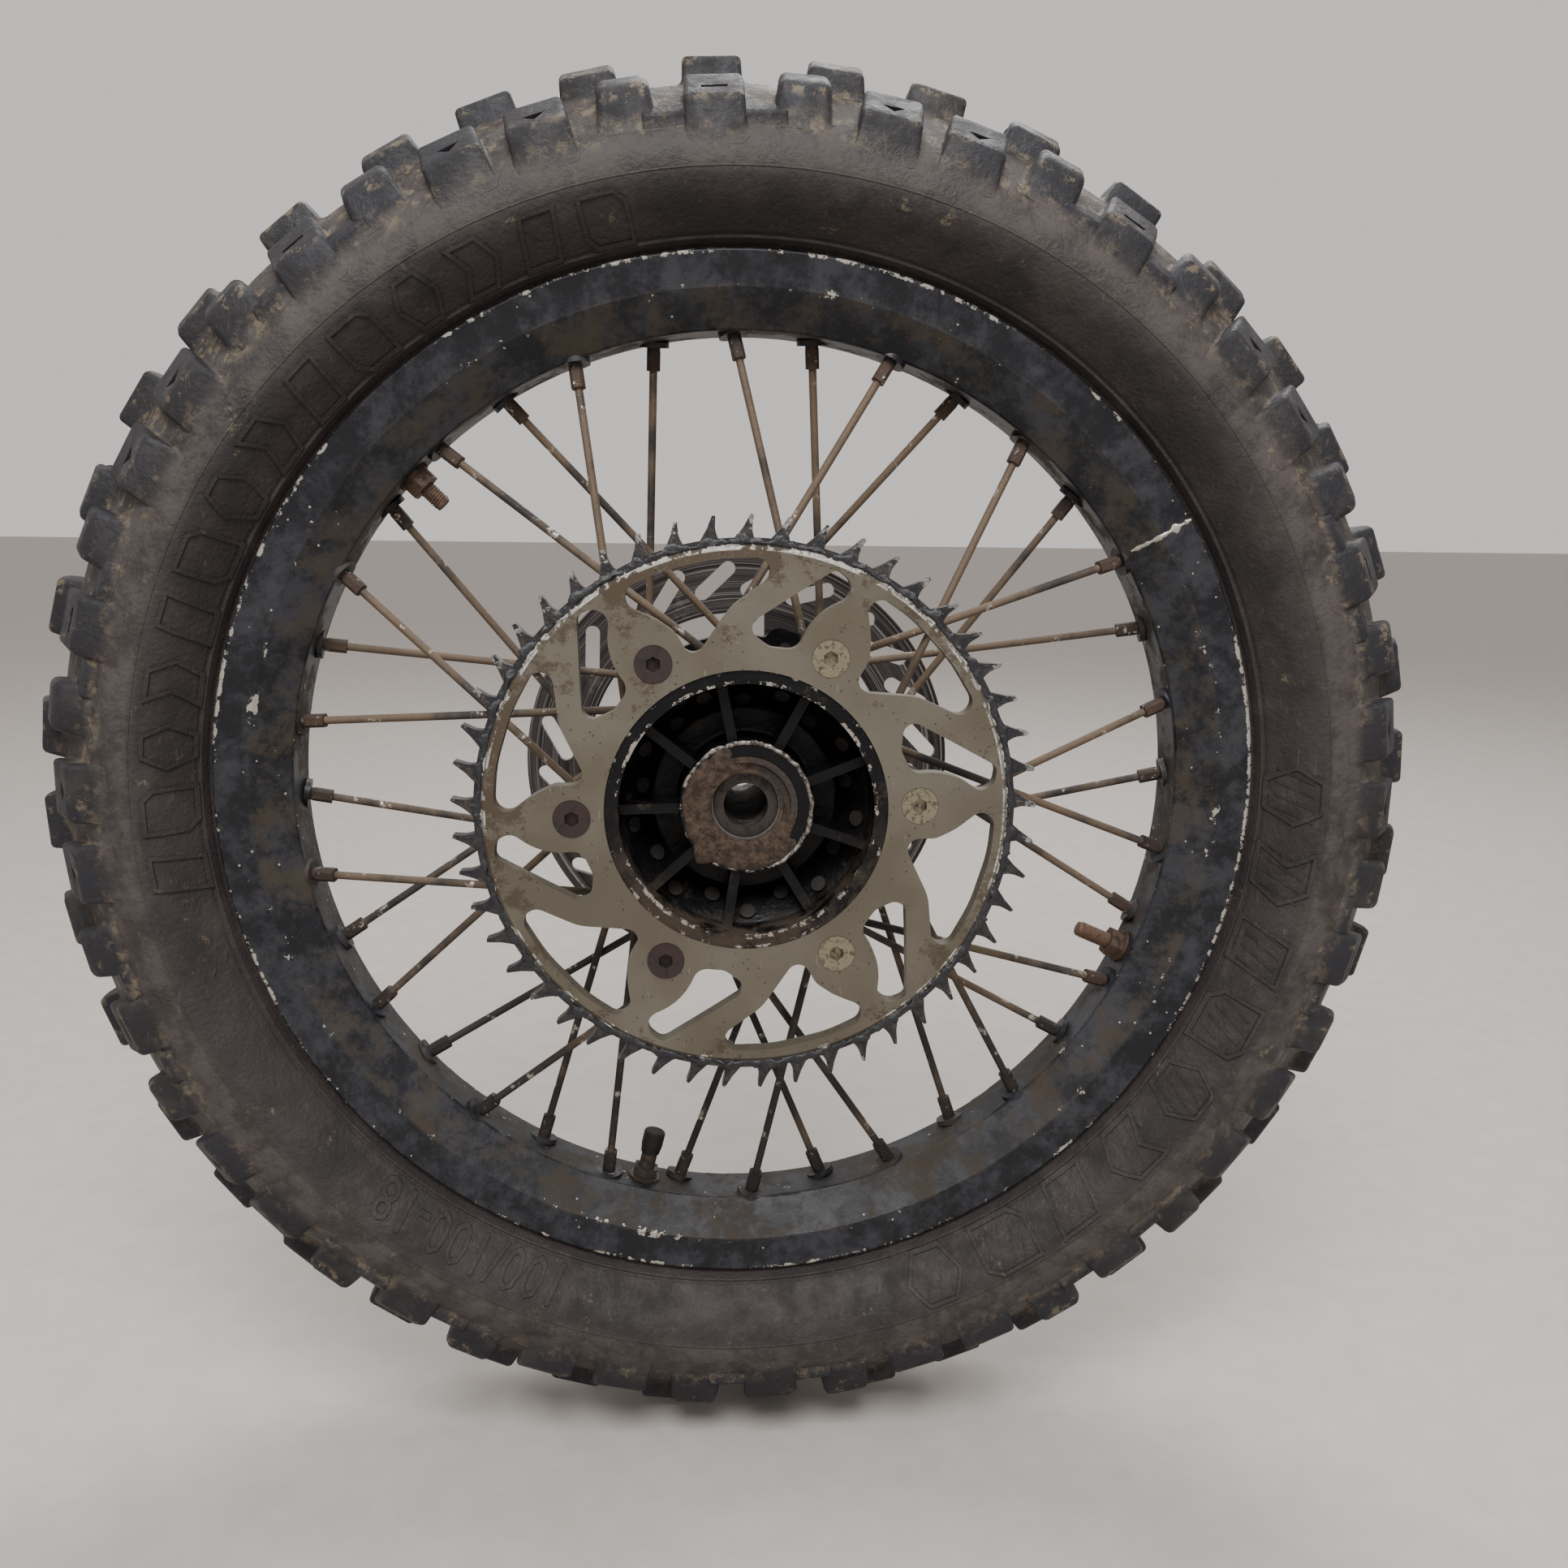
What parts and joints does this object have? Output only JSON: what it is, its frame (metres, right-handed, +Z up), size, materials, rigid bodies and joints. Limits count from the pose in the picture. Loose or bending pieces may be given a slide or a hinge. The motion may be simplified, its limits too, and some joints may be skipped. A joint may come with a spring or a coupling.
{
  "type": "motorcycle rear spoked wheel",
  "caption": "Rear spoked wheel of an off-road motorcycle, with knobbly tyre, drive sprocket, slotted brake disc, rim locks and valve.",
  "frame": {"origin": "centre of the wheel: on the axle's axis, at the middle plane of the rim", "axes": "+Y along the axle towards the brake disc, -Y towards the sprocket, +Z up"},
  "size_m": [0.6556, 0.1377, 0.6556],
  "materials": {
    "tyre_rubber": "worn, dusty",
    "tube_rubber": "matte",
    "band_rubber": "matte",
    "rim_paint": "black paint chipped to bare alloy at the edges, dirty",
    "spoke_steel": "dull and rusty",
    "nipple_steel": "dull and rusty",
    "hub_paint": "satin black, worn and greasy",
    "sprocket_alloy": "dull anodised, bare and greasy at the teeth",
    "plated_steel": "yellow plated",
    "dark_steel": "dark, rusty",
    "disc_steel": "ground, with fine circular lines",
    "bearing_steel": "ground",
    "cage_steel": "pressed",
    "shield_steel": "pressed",
    "seal_rubber": "caked with dirt",
    "spacer_steel": "dull",
    "lock_pad_rubber": "matte",
    "rusty_steel": "rusty",
    "valve_brass": "tarnished",
    "cap_plastic": "matte black"
  },
  "bodies": {
    "axle_group": {"drive_side_bearing_inner_ring": "bearing_steel", "brake_side_bearing_inner_ring": "bearing_steel", "distance_tube": "spacer_steel"},
    "wheel": {"tyre": "tyre_rubber", "inner_tube": "tube_rubber", "rim_band": "band_rubber", "rim": "rim_paint", "spokes_drive_side_forward": "spoke_steel", "spokes_drive_side_backward": "spoke_steel", "spokes_brake_side_forward": "spoke_steel", "spokes_brake_side_backward": "spoke_steel", "nipples_drive_side": "nipple_steel", "nipples_brake_side": "nipple_steel", "hub_shell": "hub_paint", "sprocket": "sprocket_alloy", "sprocket_bolts_plated": "plated_steel", "sprocket_bolts_dark": "dark_steel", "sprocket_washers": "dark_steel", "sprocket_nuts": "dark_steel", "brake_disc": "disc_steel", "brake_disc_bolts": "dark_steel", "rim_lock_pads": "lock_pad_rubber", "rim_lock_studs": "rusty_steel", "rim_lock_washers": "rusty_steel", "rim_lock_nuts": "dark_steel", "valve_stem": "valve_brass", "valve_washer": "dark_steel", "valve_nut": "valve_brass", "valve_core": "valve_brass", "drive_side_bearing_outer_ring": "bearing_steel", "drive_side_bearing_shields": "shield_steel", "drive_side_seal": "seal_rubber", "brake_side_bearing_outer_ring": "bearing_steel", "brake_side_bearing_shields": "shield_steel", "brake_side_seal": "seal_rubber"},
    "drive_side_ball_train": {"drive_side_bearing_balls": "bearing_steel", "drive_side_bearing_cage": "cage_steel"},
    "brake_side_ball_train": {"brake_side_bearing_balls": "bearing_steel", "brake_side_bearing_cage": "cage_steel"},
    "valve_cap": {"valve_cap": "cap_plastic"}
  },
  "joints": [
    {"name": "wheel_spin", "type": "hinge", "parent": "axle_group", "child": "wheel", "pos_m": [0, 0, 0], "axis": [0, 1, 0], "continuous": true},
    {"name": "drive_side_ball_train_spin", "type": "hinge", "parent": "axle_group", "child": "drive_side_ball_train", "pos_m": [0, 0, 0], "axis": [0, 1, 0], "continuous": true},
    {"name": "brake_side_ball_train_spin", "type": "hinge", "parent": "axle_group", "child": "brake_side_ball_train", "pos_m": [0, 0, 0], "axis": [0, 1, 0], "continuous": true},
    {"name": "valve_cap_off", "type": "slide", "parent": "wheel", "child": "valve_cap", "axis": [0.2334, 0, 0.9724], "range_m": [0, 0.014]}
  ],
  "couplings": [
    {"joint": "drive_side_ball_train_spin", "follows": "wheel_spin", "ratio": 0.61848},
    {"joint": "brake_side_ball_train_spin", "follows": "wheel_spin", "ratio": 0.61848}
  ]
}
